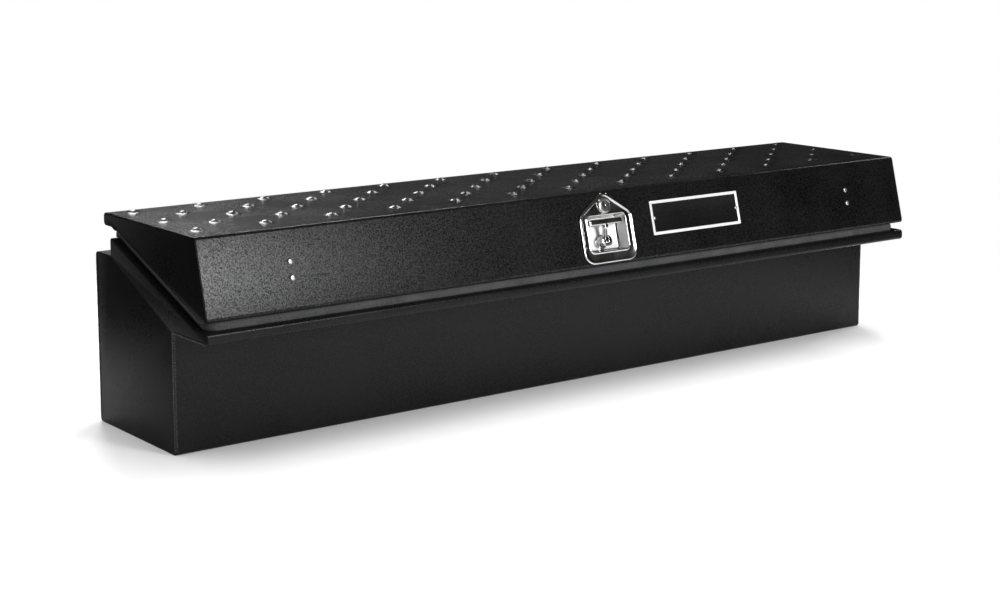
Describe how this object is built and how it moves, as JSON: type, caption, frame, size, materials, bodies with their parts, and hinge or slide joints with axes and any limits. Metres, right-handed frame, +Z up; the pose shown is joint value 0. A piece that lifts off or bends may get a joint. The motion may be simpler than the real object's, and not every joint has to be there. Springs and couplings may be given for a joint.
{
  "type": "low side truck toolbox",
  "caption": "Long low truck-side toolbox with a rail flange, stepped back, wedge-shaped dimpled lid on a rear hinge, and a recessed T-handle latch.",
  "frame": {"origin": "centre of the outer face of the tub floor", "axes": "+X along the box towards its right-hand end seen from the latch side, -Y towards the latch side, +Z up"},
  "size_m": [1.525, 0.3684, 0.3519],
  "materials": {
    "powder_coat": "textured black powder coat on aluminium sheet",
    "seal_rubber": "matt foam rubber",
    "gasket_rubber": "matt rubber",
    "polished_stainless": "polished stainless steel",
    "plated_metal": "bright plated",
    "bright_stainless": "bright stainless",
    "plate_black": "satin black with a bright border",
    "strut_black": "gloss black",
    "strut_chrome": "hard chrome",
    "zinc_steel": "zinc plated"
  },
  "bodies": {
    "tub": {"tub_wrap": "powder_coat", "tub_end_left": "powder_coat", "tub_end_right": "powder_coat", "tub_weld_left": "powder_coat", "tub_weld_right": "powder_coat", "seal_front": "seal_rubber", "seal_left": "seal_rubber", "seal_right": "seal_rubber", "seal_rear": "seal_rubber", "hinge_leaf_tub": "bright_stainless", "hinge_pin": "bright_stainless", "hinge_rivets_tub": "bright_stainless", "strike_left": "zinc_steel", "strike_right": "zinc_steel", "strut_bracket_tub_left": "zinc_steel", "strut_bracket_tub_right": "zinc_steel"},
    "lid": {"lid_wrap": "powder_coat", "lid_end_left": "powder_coat", "lid_end_right": "powder_coat", "lid_stiffener": "powder_coat", "hinge_leaf_lid": "bright_stainless", "hinge_rivets_lid": "bright_stainless", "latch_gasket": "gasket_rubber", "latch_dish": "polished_stainless", "latch_nuts": "zinc_steel", "lock_housing": "plated_metal", "spindle_bush": "plated_metal", "rod_guide_left": "zinc_steel", "rod_guide_right": "zinc_steel", "guide_rivets": "bright_stainless", "strut_bracket_lid_left": "zinc_steel", "strut_bracket_lid_right": "zinc_steel", "name_plate": "plate_black", "name_plate_rivets": "bright_stainless"},
    "t_handle": {"t_handle": "polished_stainless"},
    "spindle": {"spindle": "polished_stainless", "handle_pin": "polished_stainless", "cam_plate": "zinc_steel", "cam_nut": "zinc_steel"},
    "key_plug": {"key_plug": "plated_metal", "lock_pawl": "zinc_steel"},
    "latch_rod_left": {"latch_rod_left": "zinc_steel"},
    "latch_rod_right": {"latch_rod_right": "zinc_steel"},
    "gas_spring_rod_left": {"gas_spring_rod_left": "strut_chrome"},
    "gas_spring_rod_right": {"gas_spring_rod_right": "strut_chrome"},
    "gas_spring_tube_left": {"gas_spring_tube_left": "strut_black"},
    "gas_spring_tube_right": {"gas_spring_tube_right": "strut_black"}
  },
  "joints": [
    {"name": "lid_hinge", "type": "hinge", "parent": "tub", "child": "lid", "pos_m": [0, 0.0804, 0.3246], "axis": [-1, 0, 0], "range_deg": [0, 80]},
    {"name": "t_handle_fold", "type": "hinge", "parent": "spindle", "child": "t_handle", "pos_m": [0.0215, -0.21563, 0.26277], "axis": [1, 0, 0], "range_deg": [0, 80]},
    {"name": "spindle_turn", "type": "hinge", "parent": "lid", "child": "spindle", "pos_m": [0.0215, -0.22531, 0.26528], "axis": [0, 0.9681, -0.2507], "range_deg": [0, 45]},
    {"name": "key_turn", "type": "hinge", "parent": "lid", "child": "key_plug", "pos_m": [0.0215, -0.20977, 0.3253], "axis": [0, 0.9681, -0.2507], "range_deg": [0, 90]},
    {"name": "latch_rod_left_slide", "type": "slide", "parent": "lid", "child": "latch_rod_left", "axis": [1, 0, 0], "range_m": [0, 0.01684]},
    {"name": "latch_rod_right_slide", "type": "slide", "parent": "lid", "child": "latch_rod_right", "axis": [-1, 0, 0], "range_m": [0, 0.01684]},
    {"name": "gas_spring_pivot_left", "type": "hinge", "parent": "tub", "child": "gas_spring_rod_left", "pos_m": [-0.715, -0.0496, 0.1746], "axis": [-1, 0, 0], "range_deg": [0, 7.31]},
    {"name": "gas_spring_slide_left", "type": "slide", "parent": "gas_spring_rod_left", "child": "gas_spring_tube_left", "axis": [0, 0.4051, 0.9143], "range_m": [0, 0.07335]},
    {"name": "gas_spring_pivot_right", "type": "hinge", "parent": "tub", "child": "gas_spring_rod_right", "pos_m": [0.715, -0.0496, 0.1746], "axis": [-1, 0, 0], "range_deg": [0, 7.31]},
    {"name": "gas_spring_slide_right", "type": "slide", "parent": "gas_spring_rod_right", "child": "gas_spring_tube_right", "axis": [0, 0.4051, 0.9143], "range_m": [0, 0.07335]}
  ],
  "couplings": [
    {"joint": "spindle_turn", "follows": "t_handle_fold", "ratio": 0.5625},
    {"joint": "latch_rod_left_slide", "follows": "t_handle_fold", "m_per_rad": 0.012059},
    {"joint": "latch_rod_right_slide", "follows": "t_handle_fold", "m_per_rad": 0.012059},
    {"joint": "gas_spring_pivot_left", "follows": "lid_hinge", "ratio": 0.091285},
    {"joint": "gas_spring_slide_left", "follows": "lid_hinge", "m_per_rad": 0.052462},
    {"joint": "gas_spring_pivot_right", "follows": "lid_hinge", "ratio": 0.091285},
    {"joint": "gas_spring_slide_right", "follows": "lid_hinge", "m_per_rad": 0.052462}
  ]
}
